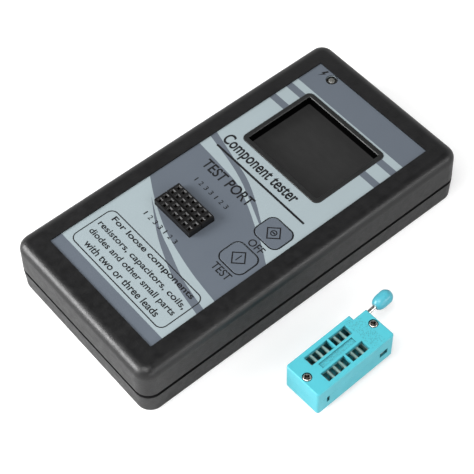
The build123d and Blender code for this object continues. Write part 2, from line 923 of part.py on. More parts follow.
zif_base.part.label = "zif_base"
export_step(zif_base.part, "parts/zif_base.step")

with BuildPart() as zif_cover:
    with BuildSketch(adapter_level(adapter_seam)):
        adapter_outline()
    extrude(amount=adapter_height - adapter_seam)
    fillet(zif_cover.faces().sort_by(Axis.Z)[-1].outer_wire().edges(), adapter_edge)
    with BuildSketch(adapter_level(adapter_seam)):
        adapter_hollow()
    extrude(amount=adapter_height - adapter_top_wall - adapter_seam, mode=Mode.SUBTRACT)
    # Two rows of windows, each split by a thin rib.
    with BuildSketch(adapter_level(adapter_height)):
        for window_side in (-1, 1):
            with Locations((adapter_middle + window_side * row_spacing / 2, row_middle_y)):
                Rectangle(window_width, window_length)
                with Locations((0, (rib_column - (row_columns - 1) / 2) * pitch)):
                    Rectangle(window_width, window_rib, mode=Mode.SUBTRACT)
    extrude(amount=-adapter_top_wall, mode=Mode.SUBTRACT)
    with BuildSketch(adapter_level(adapter_height)):
        with Locations((adapter_middle, strip_recess_y)):
            Rectangle(strip_recess_width, strip_recess_length)
    extrude(amount=-strip_recess_depth, mode=Mode.SUBTRACT)
    with BuildSketch(adapter_level(adapter_height)):
        with adapter_screw_spots:
            Circle(adapter_head_radius + adapter_head_gap)
    extrude(amount=-adapter_head_height - adapter_head_sink, mode=Mode.SUBTRACT)
    with BuildSketch(adapter_level(adapter_height)):
        with adapter_screw_spots:
            Circle(adapter_screw_radius + shank_clearance)
    extrude(amount=adapter_seam - adapter_height, mode=Mode.SUBTRACT)
zif_cover.part.label = "zif_cover"
export_step(zif_cover.part, "parts/zif_cover.step")

with BuildPart() as zif_screws:
    with BuildSketch(adapter_level(adapter_height - adapter_head_sink)):
        with adapter_screw_spots:
            Circle(adapter_head_radius)
    extrude(amount=-adapter_head_height)
    fillet(zif_screws.edges().group_by(Axis.Z)[-1], adapter_head_dome)
    with BuildSketch(adapter_level(adapter_screw_tip)):
        with adapter_screw_spots:
            Circle(adapter_screw_radius)
    extrude(amount=adapter_height - adapter_head_height - adapter_screw_tip)
    with BuildSketch(adapter_level(adapter_height)):
        with adapter_screw_spots:
            Rectangle(adapter_cross_length, adapter_cross_width)
            Rectangle(adapter_cross_width, adapter_cross_length)
    extrude(amount=-adapter_cross_depth, mode=Mode.SUBTRACT)
zif_screws.part.label = "zif_screws"
export_step(zif_screws.part, "parts/zif_screws.step")

with BuildPart() as zif_contacts:
    with BuildSketch(adapter_level(-pin_length)):
        with Locations(*contact_spots):
            Rectangle(pin_width, contact_thickness)
    extrude(amount=pin_length + adapter_floor)
    with BuildSketch(adapter_level(adapter_floor)):
        with Locations(*contact_spots):
            Rectangle(contact_width, contact_thickness)
    extrude(amount=contact_top - adapter_floor)
zif_contacts.part.label = "zif_contacts"
export_step(zif_contacts.part, "parts/zif_contacts.step")

with BuildPart() as zif_slider:
    comb_end = pivot_y - cam_radius - cam_clearance
    comb_length = comb_end - comb_start
    comb_width = adapter_width - 2 * adapter_wall - 2 * slip
    with BuildSketch(adapter_level(comb_bottom)):
        with Locations((adapter_middle, comb_start + comb_length / 2)):
            Rectangle(comb_width, comb_length)
        # Clear of the notch's inner wall.
        with Locations(((notch_width + adapter_wall + slip) / 2, comb_end)):
            Rectangle(notch_width + adapter_wall + slip, 2 * (comb_end - comb_corner_y), mode=Mode.SUBTRACT)
        window_middle = (comb_window_front - comb_window_back) / 2
        with Locations(*contact_spots):
            with Locations((0, window_middle)):
                Rectangle(
                    comb_window_width, comb_window_front + comb_window_back, mode=Mode.SUBTRACT
                )
    extrude(amount=comb_top - comb_bottom)
    # Wall that the cams push.
    follower_width = adapter_width - 2 * (notch_width + adapter_wall + 2 * slip)
    with BuildSketch(adapter_level(follower_bottom)):
        with Locations((adapter_middle, comb_end - follower_thickness / 2)):
            Rectangle(follower_width, follower_thickness)
    extrude(amount=comb_bottom - follower_bottom)
zif_slider.part.label = "zif_slider"
export_step(zif_slider.part, "parts/zif_slider.step")

with BuildPart() as zif_lever:
    rod_start = arm_x - arm_radius
    with BuildSketch(adapter_side(rod_start)):
        with Locations((pivot_y, pivot_z)):
            Circle(rod_radius)
    extrude(amount=rod_end - rod_start)
    for cam_side in (-1, 1):
        with BuildSketch(adapter_side(adapter_middle + cam_side * cam_spacing / 2 - cam_width / 2)):
            with Locations((pivot_y, pivot_z + cam_offset)):
                Circle(cam_radius)
        extrude(amount=cam_width)
    arm_direction = along * cos(radians(arm_tilt)) + Vector(0, 0, 1) * sin(radians(arm_tilt))
    arm_plane = Plane(origin=adapter_point(arm_x, pivot_y, pivot_z), x_dir=across, z_dir=arm_direction)
    with BuildSketch(arm_plane):
        Circle(arm_radius)
    extrude(amount=knob_start + knob_bore_depth - arm_tip_room)
zif_lever.part.label = "zif_lever"
export_step(zif_lever.part, "parts/zif_lever.step")

with BuildPart() as zif_knob:
    knob_plane = Plane(
        origin=adapter_point(arm_x, pivot_y, pivot_z) + arm_direction * knob_start,
        x_dir=across,
        z_dir=across.cross(arm_direction),
    )
    # Half outline of the olive, turned about the arm's line.
    with BuildSketch(knob_plane):
        with BuildLine():
            Line((0, 0), (knob_neck_radius, 0))
            Spline(
                (knob_neck_radius, 0),
                (0.9 * knob_radius, 0.16 * knob_length),
                (knob_radius, knob_widest),
                tangents=((1, 1), (0, 1)),
            )
            Line((knob_radius, knob_widest), (knob_radius, knob_round_start))
            JernArc((knob_radius, knob_round_start), (0, 1), knob_radius, 90)
            Line((0, knob_length), (0, 0))
        make_face()
    revolve(axis=Axis(knob_plane.origin, arm_direction))
    with BuildSketch(Plane(origin=knob_plane.origin, x_dir=across, z_dir=arm_direction)):
        Circle(arm_radius + knob_bore_gap)
    extrude(amount=knob_bore_depth, mode=Mode.SUBTRACT)
zif_knob.part.label = "zif_knob"
export_step(zif_knob.part, "parts/zif_knob.step")
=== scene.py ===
from math import cos, radians, sin

import bmesh
import bpy
from mathutils import Matrix, Vector
from mathutils.geometry import tessellate_polygon


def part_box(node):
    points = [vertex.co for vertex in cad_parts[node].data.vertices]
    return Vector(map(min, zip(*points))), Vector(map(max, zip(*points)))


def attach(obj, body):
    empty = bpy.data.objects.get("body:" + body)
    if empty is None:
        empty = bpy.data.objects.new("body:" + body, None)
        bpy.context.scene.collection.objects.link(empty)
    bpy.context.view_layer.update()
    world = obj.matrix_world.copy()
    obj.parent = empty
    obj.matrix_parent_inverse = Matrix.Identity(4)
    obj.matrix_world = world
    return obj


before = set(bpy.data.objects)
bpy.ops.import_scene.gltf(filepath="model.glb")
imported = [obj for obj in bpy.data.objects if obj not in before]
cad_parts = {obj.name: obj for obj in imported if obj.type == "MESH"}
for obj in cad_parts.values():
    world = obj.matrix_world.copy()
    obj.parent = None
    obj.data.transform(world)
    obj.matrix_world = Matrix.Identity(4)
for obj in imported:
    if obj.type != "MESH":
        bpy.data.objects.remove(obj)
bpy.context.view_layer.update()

# Looks of the hand-held component tester and its lever adapter, built around the CAD frame.
# Everything is in metres in the CAD's own frame; sizes below are written in millimetres
# and multiplied by MM.

MM = 0.001
INK = 0.012 * MM  # thickness of one layer of print
LAYER = 0.014 * MM  # height between layers of print

# Where the adapter lies: its near left corner and the way its long side points.
ADAPTER_CORNER = (55.17 * MM, -28.67 * MM, 0.0)
ADAPTER_HEADING = radians(1.7)
ADAPTER_ACROSS = (cos(ADAPTER_HEADING), sin(ADAPTER_HEADING), 0.0)
ADAPTER_ALONG = (-sin(ADAPTER_HEADING), cos(ADAPTER_HEADING), 0.0)
# Stippled areas on its top, as (from, to) along its length and across its width, in millimetres.
STIPPLED_PATCH = ((24.4, 29.6), (0.9, 13.9))
STIPPLED_PATCH_FADE = 0.2
STIPPLED_RECESS = ((7.9, 22.3), (6.35, 8.45))
STIPPLED_RECESS_FADE = 0.05
STIPPLE_ABOVE = 10.0
STIPPLE_SIZE = 0.5


# ================================================================ shader helpers


def srgb(red, green, blue):
    """Linear colour from 0 to 255 screen values."""
    linear = []
    for value in (red, green, blue):
        v = value / 255
        linear.append(v / 12.92 if v <= 0.04045 else ((v + 0.055) / 1.055) ** 2.4)
    return (*linear, 1.0)


def tinted(colour, factor, lift=0.0):
    """The same colour made darker or paler."""
    return (*(min(1.0, c * factor + lift) for c in colour[:3]), 1.0)


class Shader:
    """A node material under construction, with short calls for the nodes used here."""

    def __init__(self, name):
        self.material = bpy.data.materials.new(name)
        self.material.use_nodes = True
        self.tree = self.material.node_tree
        self.bsdf = self.tree.nodes["Principled BSDF"]
        self.place = self.node("ShaderNodeTexCoord").outputs["Object"]

    def node(self, kind, **settings):
        made = self.tree.nodes.new(kind)
        for key, value in settings.items():
            setattr(made, key, value)
        return made

    def link(self, source, target):
        if hasattr(source, "is_linked") or hasattr(source, "links"):
            self.tree.links.new(source, target)
        else:
            target.default_value = source

    def height(self):
        """Height of the shaded point in its piece's own coordinates."""
        split = self.node("ShaderNodeSeparateXYZ")
        self.link(self.place, split.inputs["Vector"])
        return split.outputs["Z"]

    def noise(self, size, detail=2.0, roughness=0.5, stretch=None):
        """Noise whose blobs are about size metres across."""
        made = self.node("ShaderNodeTexNoise")
        made.inputs["Scale"].default_value = 1.0 / size
        made.inputs["Detail"].default_value = detail
        made.inputs["Roughness"].default_value = roughness
        self.link(self.stretched(stretch) if stretch else self.place, made.inputs["Vector"])
        return made.outputs["Fac"]

    def stretched(self, stretch):
        """Object coordinates scaled along each axis, for streaks and brushed marks."""
        made = self.node("ShaderNodeMapping")
        made.inputs["Scale"].default_value = stretch
        self.link(self.place, made.inputs["Vector"])
        return made.outputs["Vector"]

    def cells(self, size):
        """Distance to the nearest point of a cell pattern about size metres across."""
        made = self.node("ShaderNodeTexVoronoi")
        made.inputs["Scale"].default_value = 1.0 / size
        self.link(self.place, made.inputs["Vector"])
        return made.outputs["Distance"]

    def spread(self, value, low, high, to_low=0.0, to_high=1.0):
        """Maps the range low..high of a value onto to_low..to_high."""
        made = self.node("ShaderNodeMapRange")
        self.link(value, made.inputs["Value"])
        limits = (("From Min", low), ("From Max", high), ("To Min", to_low), ("To Max", to_high))
        for key, number in limits:
            made.inputs[key].default_value = number
        return made.outputs["Result"]

    def patches(self, size, detail=3.0):
        """0 to 1 in soft patches about size metres across."""
        return self.spread(self.noise(size, detail), 0.3, 0.7)

    def mix(self, amount, first, second):
        """Colour between two, by an amount from 0 to 1."""
        made = self.node("ShaderNodeMix", data_type="RGBA")
        self.link(amount, made.inputs[0])
        self.link(first, made.inputs[6])
        self.link(second, made.inputs[7])
        return made.outputs[2]

    def maths(self, operation, first, second):
        made = self.node("ShaderNodeMath", operation=operation)
        self.link(first, made.inputs[0])
        self.link(second, made.inputs[1])
        return made.outputs[0]

    def edges(self, radius):
        """Bright along convex and concave edges: how far a rounded normal leaves the true one."""
        rounded = self.node("ShaderNodeBevel", samples=4)
        rounded.inputs["Radius"].default_value = radius
        true = self.node("ShaderNodeNewGeometry")
        dot = self.node("ShaderNodeVectorMath", operation="DOT_PRODUCT")
        self.link(rounded.outputs["Normal"], dot.inputs[0])
        self.link(true.outputs["Normal"], dot.inputs[1])
        return self.spread(dot.outputs["Value"], 1.0, 0.82)

    def hollows(self, reach, closed, open_air):
        """1 in the open, falling to 0 deep inside slots and cavities."""
        made = self.node("ShaderNodeAmbientOcclusion", samples=6)
        made.inputs["Distance"].default_value = reach
        return self.spread(made.outputs["AO"], closed, open_air)

    def along_line(self, origin, heading):
        """Distance of the shaded point from an origin, measured along one level direction."""
        made = self.node("ShaderNodeVectorMath", operation="DOT_PRODUCT")
        self.link(self.place, made.inputs[0])
        made.inputs[1].default_value = heading
        start = sum(a * b for a, b in zip(origin, heading))
        return self.maths("SUBTRACT", made.outputs["Value"], start)

    def between(self, value, low, high, soft):
        """1 between two limits, with soft ends."""
        rise = self.spread(value, low - soft, low + soft)
        fall = self.spread(value, high - soft, high + soft, 1.0, 0.0)
        return self.maths("MULTIPLY", rise, fall)

    def top_area(self, area, fade):
        """1 over an area of the adapter's top, given along its length and across its width."""
        along = self.along_line(ADAPTER_CORNER, ADAPTER_ALONG)
        across = self.along_line(ADAPTER_CORNER, ADAPTER_ACROSS)
        (start, end), (left, right) = area
        return self.maths(
            "MULTIPLY",
            self.between(along, start * MM, end * MM, fade * MM),
            self.between(across, left * MM, right * MM, fade * MM),
        )

    def bump(self, height, distance):
        """Raises the surface by distance where height is 1."""
        made = self.node("ShaderNodeBump")
        made.inputs["Distance"].default_value = distance
        self.link(height, made.inputs["Height"])
        self.link(made.outputs["Normal"], self.bsdf.inputs["Normal"])

    def finish(self, colour, roughness, metallic=0.0, specular=0.5):
        """Connects the surface's colour and roughness, and hands over the material."""
        self.link(colour, self.bsdf.inputs["Base Color"])
        self.link(roughness, self.bsdf.inputs["Roughness"])
        self.bsdf.inputs["Metallic"].default_value = metallic
        self.bsdf.inputs["Specular IOR Level"].default_value = specular
        return self.material


def bezel_plastic():
    """Matt black frame of the display, with painted shade making its inner walls go darker towards the
    glass.
    """
    s = Shader("bezel_black")
    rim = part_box("display_bezel")[1].z
    speck = s.noise(0.2 * MM, 3.0, 0.6)
    base = s.mix(s.patches(7 * MM), srgb(20, 21, 21), srgb(26, 27, 27))
    rubbed = s.maths("MULTIPLY", s.edges(0.3 * MM), s.spread(s.noise(1.4 * MM), 0.45, 0.7, 0.0, 0.12))
    base = s.mix(rubbed, base, srgb(40, 40, 39))
    # Painted shade: the inner walls fade to near black and lose most of their shine towards the glass.
    walls = s.spread(s.height(), rim - 0.45 * MM, rim - 0.05 * MM)
    base = s.mix(walls, srgb(2, 2, 2), base)
    s.link(s.spread(walls, 0.0, 1.0, 0.02, 0.5), s.bsdf.inputs["Specular IOR Level"])
    s.bump(speck, 0.006 * MM)
    s.link(base, s.bsdf.inputs["Base Color"])
    s.link(s.spread(s.noise(2.5 * MM, 4.0), 0.3, 0.7, 0.4, 0.52), s.bsdf.inputs["Roughness"])
    return s.material


def moulded(
    name, colour, roughness, grain, depth, mottle=0.12, wear=0.25, specular=0.5, lift=0.012
):
    """Moulded plastic: fine spark grain, faint mottling, and paler rubbed edges."""
    s = Shader(name)
    speck = s.noise(grain, 3.0, 0.6)
    paler = tinted(colour, 1 + mottle, 0.002)
    base = s.mix(s.patches(9 * MM), tinted(colour, 1 - mottle), paler)
    base = s.mix(s.spread(speck, 0.35, 0.65, 0.0, 0.22), base, paler)
    rubbed = s.maths("MULTIPLY", s.edges(0.35 * MM), s.spread(s.noise(1.4 * MM), 0.45, 0.7, 0.0, wear))
    base = s.mix(rubbed, base, tinted(colour, 1.4, lift))
    rough = s.spread(s.noise(2.5 * MM, 4.0), 0.3, 0.7, roughness - 0.05, roughness + 0.06)
    s.bump(speck, depth)
    return s.finish(base, rough, specular=specular)


def adapter_moulding(name, colour, roughness):
    """The adapter's coloured plastic: satin, with a stippled patch and painted shade darkening its hollows.
    """
    s = Shader(name)
    speck = s.noise(0.35 * MM, 3.0, 0.6)
    base = s.mix(s.patches(6 * MM), tinted(colour, 0.95), colour)
    base = s.mix(s.spread(speck, 0.35, 0.65, 0.0, 0.15), base, tinted(colour, 1.12))
    patch = s.top_area(STIPPLED_PATCH, STIPPLED_PATCH_FADE)
    recess = s.top_area(STIPPLED_RECESS, STIPPLED_RECESS_FADE)
    near_top = s.spread(s.height(), (STIPPLE_ABOVE - 0.1) * MM, (STIPPLE_ABOVE + 0.1) * MM)
    stippled = s.maths("MULTIPLY", s.maths("MAXIMUM", patch, recess), near_top)
    dots = s.maths("MULTIPLY", stippled, s.spread(s.cells(STIPPLE_SIZE * MM), 0.5, 0.25))
    base = s.mix(s.maths("MULTIPLY", dots, 0.5), base, tinted(colour, 0.4))
    rubbed = s.maths("MULTIPLY", s.edges(0.3 * MM), s.spread(s.noise(1.4 * MM), 0.4, 0.7, 0.1, 0.35))
    base = s.mix(rubbed, base, tinted(colour, 1.3, 0.02))
    # Painted shade: slots, windows, cavities and faces close to other surfaces go almost black in the
    # plastic's own hue.
    base = s.mix(s.hollows(3.5 * MM, 0.25, 0.7), tinted(colour, 0.06), base)
    rough = s.spread(s.noise(2.5 * MM, 4.0), 0.3, 0.7, roughness - 0.05, roughness + 0.06)
    s.bump(s.maths("SUBTRACT", s.maths("MULTIPLY", speck, 0.4), dots), 0.05 * MM)
    return s.finish(base, rough)


def cross_head(name, colour, roughness):
    """Plated screw: bright dome, with dull brown painted shade inside the cross."""
    s = Shader(name)
    lines = s.noise(0.3 * MM, 3.0, 0.6, stretch=(6.0, 1.0, 1.0))
    base = s.mix(s.spread(s.noise(0.9 * MM, 3.0), 0.4, 0.7), colour, tinted(colour, 0.8))
    # Painted shade: deep in the cross recess the colour turns a dull dark brown.
    base = s.mix(s.hollows(1.0 * MM, 0.35, 0.75), srgb(46, 28, 21), base)
    s.bump(lines, 0.004 * MM)
    return s.finish(base, s.spread(lines, 0.3, 0.7, roughness - 0.05, roughness + 0.12), metallic=1.0)


def metal(name, colour, roughness, streak=(1.0, 1.0, 12.0), tarnish=0.15):
    """Plated or drawn metal with fine streaks and a little tarnish."""
    s = Shader(name)
    lines = s.noise(0.35 * MM, 3.0, 0.6, stretch=streak)
    dulled = tinted(colour, 1 - 2 * tarnish)
    base = s.mix(s.spread(s.noise(1.2 * MM, 3.0), 0.4, 0.7), colour, dulled)
    rough = s.spread(lines, 0.3, 0.7, roughness - 0.05, roughness + 0.12)
    s.bump(lines, 0.004 * MM)
    return s.finish(base, rough, metallic=1.0)


def film(name, colour, roughness=0.42):
    """Printed polycarbonate film: an even colour under a very fine velvet texture."""
    s = Shader(name)
    fine = s.noise(0.16 * MM, 2.0)
    base = s.mix(s.patches(14 * MM), tinted(colour, 0.97), colour)
    base = s.mix(s.spread(fine, 0.3, 0.7, 0.0, 0.08), base, tinted(colour, 0.8))
    rough = s.spread(s.noise(4 * MM, 4.0), 0.3, 0.7, roughness - 0.04, roughness + 0.06)
    s.bump(fine, 0.003 * MM)
    return s.finish(base, rough, specular=0.25)


def ink(name, colour):
    """Screen-printed ink, with the slight unevenness of a printed layer."""
    s = Shader(name)
    grain = s.noise(0.12 * MM, 3.0, 0.6)
    base = s.mix(s.spread(grain, 0.35, 0.7, 0.0, 0.5), colour, tinted(colour, 1.12, 0.004))
    s.bump(grain, 0.002 * MM)
    return s.finish(base, s.spread(grain, 0.3, 0.7, 0.45, 0.55), specular=0.35)


def screen_glass():
    """Dark display glass with faint smears and specks of dust, glowing faintly as painted light."""
    s = Shader("screen_glass")
    smear = s.noise(5 * MM, 4.0, 0.55, stretch=(1.0, 2.5, 1.0))
    dust = s.spread(s.cells(1.1 * MM), 0.035, 0.0)
    base = s.mix(s.spread(smear, 0.3, 0.7), srgb(32, 32, 32), srgb(34, 34, 34))
    base = s.mix(s.maths("MULTIPLY", dust, 0.5), base, srgb(120, 120, 118))
    s.bump(s.noise(0.2 * MM, 2.0), 0.002 * MM)
    # Painted light: the glass glows faintly in its own colour, so it stays an even dark grey even close to
    # the walls, where shade would fall.
    s.link(base, s.bsdf.inputs["Emission Color"])
    s.bsdf.inputs["Emission Strength"].default_value = 0.85
    return s.finish(base, s.spread(smear, 0.3, 0.7, 0.42, 0.52), specular=0.1)


def circuit_resist():
    """Green solder resist over copper tracks, with the bare laminate showing between them."""
    s = Shader("circuit_resist")
    tracks = s.node("ShaderNodeTexBrick")
    tracks.inputs["Scale"].default_value = 1.0 / (5 * MM)
    tracks.inputs["Mortar Size"].default_value = 0.07
    s.link(s.place, tracks.inputs["Vector"])
    copper = tracks.outputs["Fac"]
    base = s.mix(s.patches(7 * MM, 2.0), srgb(14, 74, 38), srgb(18, 88, 46))
    base = s.mix(copper, base, srgb(36, 112, 62))
    s.bump(copper, 0.03 * MM)
    return s.finish(base, s.spread(s.noise(1 * MM), 0.3, 0.7, 0.25, 0.4))


def clear_lens(name, colour):
    """Unlit lamp: a milky lens with a little depth."""
    s = Shader(name)
    s.bsdf.inputs["Transmission Weight"].default_value = 0.35
    cloud = s.noise(0.8 * MM, 3.0)
    base = s.mix(s.spread(cloud, 0.3, 0.7), colour, tinted(colour, 0.75))
    s.bump(cloud, 0.004 * MM)
    return s.finish(base, s.spread(cloud, 0.3, 0.7, 0.12, 0.25))


def foil():
    """Crinkled aluminium laminate round the battery cell."""
    s = Shader("battery_foil")
    crinkle = s.noise(2.4 * MM, 5.0, 0.62)
    base = s.mix(s.spread(crinkle, 0.35, 0.65), srgb(150, 153, 158), srgb(196, 199, 203))
    s.bump(crinkle, 0.12 * MM)
    return s.finish(base, s.spread(crinkle, 0.3, 0.7, 0.25, 0.45), metallic=1.0)


# ================================================================ materials

CASE_BLACK = srgb(12, 12, 13)
LABEL_LIGHT = srgb(147, 159, 163)
LABEL_DARK = srgb(90, 97, 106)
INK_BLACK = srgb(13, 14, 17)
ADAPTER_BLUE = srgb(76, 176, 189)

case_black = moulded("case_black", CASE_BLACK, 0.39, grain=0.55 * MM, depth=0.06 * MM)
case_black_lower = moulded("case_black_lower", CASE_BLACK, 0.42, grain=0.55 * MM, depth=0.06 * MM)
bezel_black = bezel_plastic()
socket_black = moulded(
    "socket_black",
    srgb(12, 11, 11),
    0.45,
    grain=0.2 * MM,
    depth=0.006 * MM,
    wear=0.3,
    specular=0.3,
    lift=0.008,
)
inner_black = moulded("inner_black", srgb(28, 28, 29), 0.4, grain=0.2 * MM, depth=0.004 * MM)
chip_black = moulded("chip_black", srgb(32, 32, 33), 0.55, grain=0.12 * MM, depth=0.004 * MM)
film_light = film("film_light", LABEL_LIGHT)
film_dark = film("film_dark", LABEL_DARK)
ink_dark = film("ink_dark", LABEL_DARK)
ink_black = ink("ink_black", INK_BLACK)
adapter_plastic = adapter_moulding("adapter_plastic", ADAPTER_BLUE, 0.4)
adapter_base_plastic = adapter_moulding("adapter_base_plastic", ADAPTER_BLUE, 0.42)
knob_plastic = moulded(
    "knob_plastic", srgb(74, 164, 180), 0.3, grain=0.4 * MM, depth=0.02 * MM, mottle=0.06, wear=0.2
)
comb_plastic = moulded("comb_plastic", srgb(150, 180, 174), 0.45, grain=0.3 * MM, depth=0.01 * MM)
steel = metal("steel", srgb(228, 226, 222), 0.22, tarnish=0.08)
plated_screw = cross_head("plated_screw", srgb(232, 228, 220), 0.26)
dark_screw = metal("dark_screw", srgb(96, 96, 98), 0.38, streak=(6.0, 1.0, 1.0))
tinned = metal("tinned", srgb(186, 182, 172), 0.32)
contact_metal = metal("contact_metal", srgb(170, 152, 122), 0.3, tarnish=0.25)
nickel = metal("nickel", srgb(178, 180, 180), 0.3, streak=(1.0, 1.0, 6.0))
nylon = moulded("nylon", srgb(214, 208, 190), 0.45, grain=0.3 * MM, depth=0.006 * MM, mottle=0.05)
foam = moulded("foam", srgb(46, 46, 48), 0.85, grain=0.5 * MM, depth=0.08 * MM, specular=0.2)
sleeve_red = moulded("sleeve_red", srgb(150, 24, 20), 0.4, grain=0.6 * MM, depth=0.004 * MM)
tray_white = moulded("tray_white", srgb(205, 205, 200), 0.4, grain=0.4 * MM, depth=0.006 * MM, mottle=0.04)
flex_amber = film("flex_amber", srgb(176, 106, 36), 0.3)
resistor_glaze = moulded("resistor_glaze", srgb(40, 40, 46), 0.3, grain=0.2 * MM, depth=0.003 * MM)
capacitor_ceramic = moulded("capacitor_ceramic", srgb(168, 138, 100), 0.5, grain=0.15 * MM, depth=0.003 * MM)

NODE_MATERIALS = {
    "upper_case": case_black,
    "lower_case": case_black_lower,
    "case_screws": dark_screw,
    "board_screws": nickel,
    "front_label": film_light,
    "display_bezel": bezel_black,
    "display_glass": screen_glass(),
    "display_tray": tray_white,
    "display_flex": flex_amber,
    "main_board": circuit_resist(),
    "microcontroller": chip_black,
    "microcontroller_leads": tinned,
    "crystal": nickel,
    "charger_chip": chip_black,
    "chip_resistors": resistor_glaze,
    "chip_capacitors": capacitor_ceramic,
    "electrolytic": nickel,
    "header_front": socket_black,
    "header_rear": socket_black,
    "header_contacts": contact_metal,
    "off_key": film_dark,
    "test_key": film_dark,
    "off_plunger": inner_black,
    "test_plunger": inner_black,
    "switch_bodies": inner_black,
    "charge_led": clear_lens("led_lens", srgb(120, 120, 116)),
    "led_leads": tinned,
    "usb_port": nickel,
    "battery_pad": foam,
    "battery_cell": foil(),
    "battery_plug": nylon,
    "battery_socket": nylon,
    "battery_leads": sleeve_red,
    "zif_base": adapter_base_plastic,
    "zif_cover": adapter_plastic,
    "zif_screws": plated_screw,
    "zif_contacts": tinned,
    "zif_slider": comb_plastic,
    "zif_lever": steel,
    "zif_knob": knob_plastic,
}

for node_name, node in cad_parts.items():
    node.data.materials.clear()
    node.data.materials.append(NODE_MATERIALS[node_name])


# ================================================================ print on the label

# Positions on the label are in millimetres in the CAD's own frame, x to the right and y
# away from the front.


def extent(low_piece, high_piece, gap=0.0):
    """Left, front, right and back of one piece or of two neighbours, in millimetres, grown by a gap."""
    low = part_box(low_piece)[0]
    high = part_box(high_piece)[1]
    return (low.x / MM - gap, low.y / MM - gap, high.x / MM + gap, high.y / MM + gap)


def middle(x0, y0, x1, y1):
    return ((x0 + x1) / 2, (y0 + y1) / 2)


LABEL_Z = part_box("front_label")[1].z
LEFT, FRONT, RIGHT, BACK = extent("front_label", "front_label")
LED = middle(*extent("charge_led", "charge_led"))
LED_OPENING = 1.9
LED_RING = 2.15
KEY_GAP = 0.15
KEY_CORNER = 2.65
KEYS = ("off_key", "test_key")
SOCKET_GAP = 0.15
BEZEL_GAP = 0.05
BEZEL_CORNER = 2.25
CURVE_STEPS = 8
CIRCLE_STEPS = 40


def spline(p, q, r, s, t):
    """Value a fraction t of the way from q to r, on a smooth curve through p, q, r and s."""
    linear = (r - p) * t
    square = (2 * p - 5 * q + 4 * r - s) * t**2
    cube = (3 * q - p - 3 * r + s) * t**3
    return 0.5 * (2 * q + linear + square + cube)


def smooth_through(points):
    """Smooth line through a few points, as a list of closely spaced ones."""
    padded = [points[0], *points, points[-1]]
    line = []
    for a, b, c, d in zip(padded, padded[1:], padded[2:], padded[3:]):
        for step in range(CURVE_STEPS):
            line.append(tuple(spline(p, q, r, s, step / CURVE_STEPS) for p, q, r, s in zip(a, b, c, d)))
    line.append(tuple(points[-1]))
    return line


def rectangle(x0, y0, x1, y1):
    return [(x0, y0), (x1, y0), (x1, y1), (x0, y1)]


def arc(centre, radius, start, end, steps=10):
    angles = [radians(start + (end - start) * i / steps) for i in range(steps + 1)]
    return [(centre[0] + radius * cos(a), centre[1] + radius * sin(a)) for a in angles]


def rounded(x0, y0, x1, y1, radius):
    """Rectangle with round corners."""
    return (
        arc((x1 - radius, y0 + radius), radius, -90, 0)
        + arc((x1 - radius, y1 - radius), radius, 0, 90)
        + arc((x0 + radius, y1 - radius), radius, 90, 180)
        + arc((x0 + radius, y0 + radius), radius, 180, 270)
    )


def circle(x, y, radius):
    return arc((x, y), radius, 0, 360, CIRCLE_STEPS)[:-1]


def add_mesh(name, bm, material):
    """Object made from a bmesh, with its faces turned outwards."""
    mesh = bpy.data.meshes.new(name)
    bmesh.ops.recalc_face_normals(bm, faces=bm.faces)
    bm.to_mesh(mesh)
    bm.free()
    mesh.materials.append(material)
    obj = bpy.data.objects.new(name, mesh)
    bpy.context.scene.collection.objects.link(obj)
    return obj


def fill(bm, loops, bottom, top):
    """Closed slab between two heights from an outer loop and any holes, all in millimetres."""
    flat = [[Vector((x * MM, y * MM, 0)) for x, y in loop] for loop in loops]
    corners = [point for loop in flat for point in loop]
    triangles = tessellate_polygon(flat)
    low = [bm.verts.new((p.x, p.y, bottom)) for p in corners]
    high = [bm.verts.new((p.x, p.y, top)) for p in corners]
    for a, b, c in triangles:
        bm.faces.new((low[a], low[b], low[c]))
        bm.faces.new((high[c], high[b], high[a]))
    start = 0
    for loop in flat:
        count = len(loop)
        for i in range(count):
            a, b = start + i, start + (i + 1) % count
            bm.faces.new((low[a], low[b], high[b], high[a]))
        start += count


def slab(name, shapes, material, layer=0, body="housing", base=LABEL_Z):
    """One printed layer made of several flat shapes; each shape is a list of loops."""
    bm = bmesh.new()
    bottom = base + layer * LAYER
    for loops in shapes:
        fill(bm, loops, bottom, bottom + INK)
    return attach(add_mesh(name, bm, material), body)


def cut_openings(obj):
    """Trims a printed layer where the label has its own openings."""
    shapes = [
        rounded(*extent("display_bezel", "display_bezel", BEZEL_GAP), BEZEL_CORNER),
        rectangle(*extent("header_front", "header_rear", SOCKET_GAP)),
        circle(*LED, LED_OPENING),
    ]
    for key in KEYS:
        shapes.append(rounded(*extent(key, key, KEY_GAP), KEY_CORNER))
    bm = bmesh.new()
    for loop in shapes:
        fill(bm, [loop], LABEL_Z - MM, LABEL_Z + MM)
    cutter = add_mesh("cutter", bm, ink_black)
    trim = obj.modifiers.new("openings", "BOOLEAN")
    trim.operation = "DIFFERENCE"
    trim.solver = "EXACT"
    trim.object = cutter
    bpy.context.view_layer.update()
    cut = bpy.data.meshes.new_from_object(obj.evaluated_get(bpy.context.evaluated_depsgraph_get()))
    obj.modifiers.clear()
    obj.data = cut
    bpy.data.objects.remove(cutter)


# Straight bands across the label.
BAND_EDGES = [(BACK, 48.6), (45.8, 43.1), (38.1, 35.4), (-54.1, FRONT)]
band_shapes = [[rectangle(LEFT, low, RIGHT, high)] for high, low in BAND_EDGES]
cut_openings(slab("label_bands", band_shapes, ink_dark))

# Dark field round the test socket, and the two stripes that sweep past it.
FIELD_TOP = [
    (LEFT, 3.9), (-13.2, 3.1), (-4.1, 2.1), (5.0, -1.2), (13.2, -5.0), (18.6, -7.4), (RIGHT, -11.9)
]
FIELD_BOTTOM = [
    (LEFT, -17.6), (-17.7, -22.4), (-6.0, -27.4), (5.0, -30.2), (15.0, -32.0), (RIGHT, -33.2)
]
field_shape = [smooth_through(FIELD_TOP) + smooth_through(FIELD_BOTTOM)[::-1]]
cut_openings(slab("label_field", [field_shape], ink_dark))

